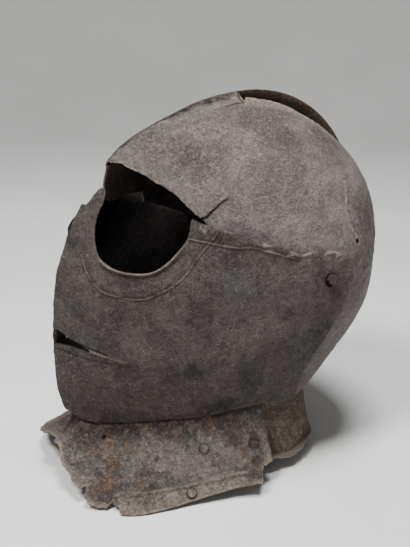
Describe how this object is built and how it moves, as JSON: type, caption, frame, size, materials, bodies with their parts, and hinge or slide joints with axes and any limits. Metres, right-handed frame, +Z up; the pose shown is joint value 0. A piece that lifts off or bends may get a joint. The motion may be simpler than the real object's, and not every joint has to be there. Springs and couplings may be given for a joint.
{
  "type": "armet",
  "caption": "Blackened steel armet (close helmet) with a combed skull, a face-shaped plate that turns up on temple rivets, and a flared neck flange.",
  "frame": {"origin": "centre of the bounding box at its lowest level, where the neck flange touches the ground", "axes": "+Z up, the face looks along -Y, the wearer's left is +X"},
  "size_m": [0.2231, 0.2951, 0.3054],
  "materials": {
    "skull_iron": "rusted, pitted dark sheet steel",
    "skull_iron_right": "rusted, pitted dark sheet steel",
    "face_iron": "rusted, pitted dark sheet steel",
    "flange_iron": "rusted, pitted dark sheet steel",
    "flange_iron_rear": "rusted, pitted dark sheet steel",
    "rivet_iron_0": "rusted, pitted dark sheet steel",
    "rivet_iron_1": "rusted, pitted dark sheet steel",
    "rivet_iron_2": "rusted, pitted dark sheet steel",
    "rivet_iron_3": "rusted, pitted dark sheet steel"
  },
  "bodies": {
    "skull": {"skull_left": "skull_iron", "skull_right": "skull_iron_right", "gorget_rear": "flange_iron_rear", "pivot_rivet_left": "rivet_iron_0", "pivot_rivet_right": "rivet_iron_1"},
    "face": {"face_plate": "face_iron", "gorget_front": "flange_iron", "gorget_rivet_left": "rivet_iron_2", "gorget_rivet_right": "rivet_iron_3"}
  },
  "joints": [
    {"name": "face_pivot", "type": "hinge", "parent": "skull", "child": "face", "pos_m": [0, 0.0602, 0.1675], "axis": [-1, 0, 0], "range_deg": [0, 60]}
  ]
}
